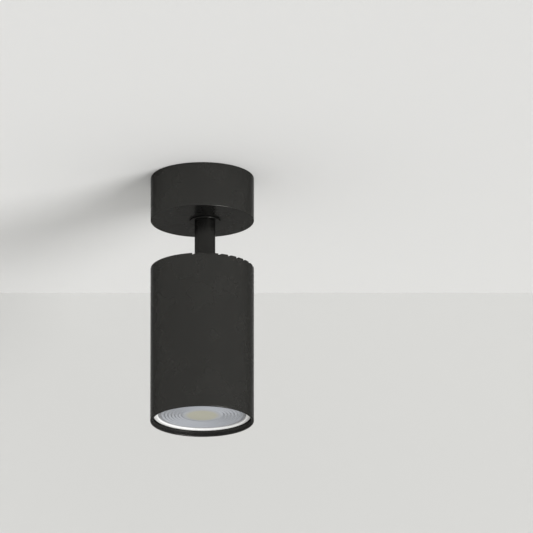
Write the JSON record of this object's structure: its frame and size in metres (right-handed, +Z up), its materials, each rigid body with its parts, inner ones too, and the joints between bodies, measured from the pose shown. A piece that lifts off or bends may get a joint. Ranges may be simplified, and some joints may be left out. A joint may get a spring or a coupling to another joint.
{
  "type": "surface mounted ceiling spotlight",
  "caption": "Round ceiling cup with a short off-centre stem that carries a tilting and turning cylindrical spot head with a twist-lock reflector lamp in its mouth.",
  "frame": {"origin": "centre of the two ceiling screws, on the ceiling plane, on the axis of the cup and of the head", "axes": "+Z up into the ceiling; the head tilts in the YZ plane so that its lamp turns towards +Y; X is the tilt axis direction and the line of the ceiling screws"},
  "size_m": [0.053, 0.053, 0.1309],
  "materials": {
    "black_coat": "fine satin black powder coat on aluminium",
    "black_coat_steel": "fine satin black powder coat on steel",
    "zinc_steel": "zinc plated",
    "dark_steel": "black oxide",
    "spring_steel": "bright spring steel",
    "brass": "plain",
    "nickel_brass": "nickel plated",
    "terminal_plastic": "moulded",
    "nylon": "moulded",
    "wire_insulation": "brown, blue and green-yellow sleeves",
    "ceramic": "glazed steatite",
    "lamp_body": "white thermoplastic",
    "lamp_white_plastic": "moulded",
    "lamp_lens": "clear, with fine rings",
    "led_board": "white solder mask",
    "led_phosphor": "yellow phosphor",
    "driver_board": "circuit board with parts"
  },
  "bodies": {
    "canopy": {"canopy_cup": "black_coat", "mounting_plate": "zinc_steel", "canopy_grub_screws": "dark_steel", "terminal_block": "terminal_plastic", "terminal_clips": "spring_steel", "earth_clamp": "brass", "earth_screw": "brass", "swivel_friction_washer": "nylon"},
    "stem": {"stem_tube": "black_coat_steel", "stop_washer": "zinc_steel", "lock_nut": "zinc_steel", "stem_wires": "wire_insulation"},
    "head": {"head_body": "black_coat", "tilt_bracket": "zinc_steel", "tilt_friction_pads": "nylon", "pivot_bolt": "dark_steel", "pivot_nut": "dark_steel", "holder_bracket": "zinc_steel", "bracket_screws": "zinc_steel", "lampholder": "ceramic", "holder_contacts": "brass", "lampholder_screws": "zinc_steel"},
    "lamp": {"lamp_shell": "lamp_body", "lamp_front_ring": "lamp_white_plastic", "lamp_lens": "lamp_lens", "lamp_led_board": "led_board", "lamp_led": "led_phosphor", "lamp_base": "lamp_white_plastic", "lamp_pins": "nickel_brass", "lamp_driver": "driver_board"}
  },
  "joints": [
    {"name": "stem_swivel", "type": "hinge", "parent": "canopy", "child": "stem", "pos_m": [0, -0.002, -0.0233], "axis": [0, 0, 1], "range_deg": [-160, 160]},
    {"name": "head_tilt", "type": "hinge", "parent": "stem", "child": "head", "pos_m": [0, -0.002, -0.061], "axis": [1, 0, 0], "range_deg": [0, 90]},
    {"name": "lamp_twist", "type": "hinge", "parent": "head", "child": "lamp", "pos_m": [0, 0, -0.0849], "axis": [0, 0, -1], "range_deg": [0, 15]}
  ]
}
